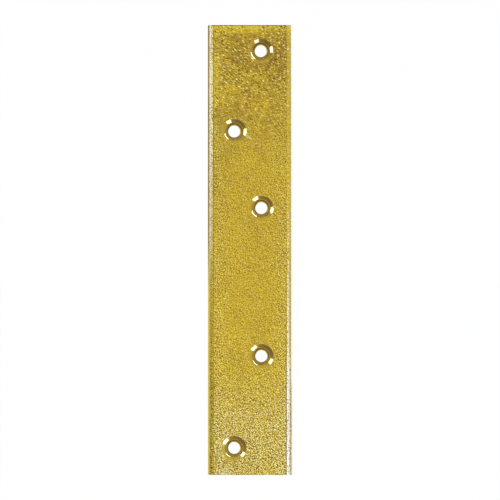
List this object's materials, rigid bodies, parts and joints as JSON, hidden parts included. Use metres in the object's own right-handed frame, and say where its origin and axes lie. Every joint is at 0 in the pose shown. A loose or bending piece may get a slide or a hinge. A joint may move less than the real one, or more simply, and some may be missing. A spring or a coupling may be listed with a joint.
{
  "type": "mending plate",
  "caption": "Flat yellow-zinc steel strip with staggered countersunk screw holes, for joining two timbers end to end.",
  "frame": {"origin": "centre of the plate's back face, on the surface it lies on", "axes": "+Z out of the front face, the way the countersinks open; +Y along the plate's length, towards the end whose hole is in the right-hand row; +X across its width"},
  "size_m": [0.03, 0.16, 0.003],
  "materials": {
    "plate": "satin"
  },
  "bodies": {
    "root": {"plate": "plate"}
  },
  "joints": []
}
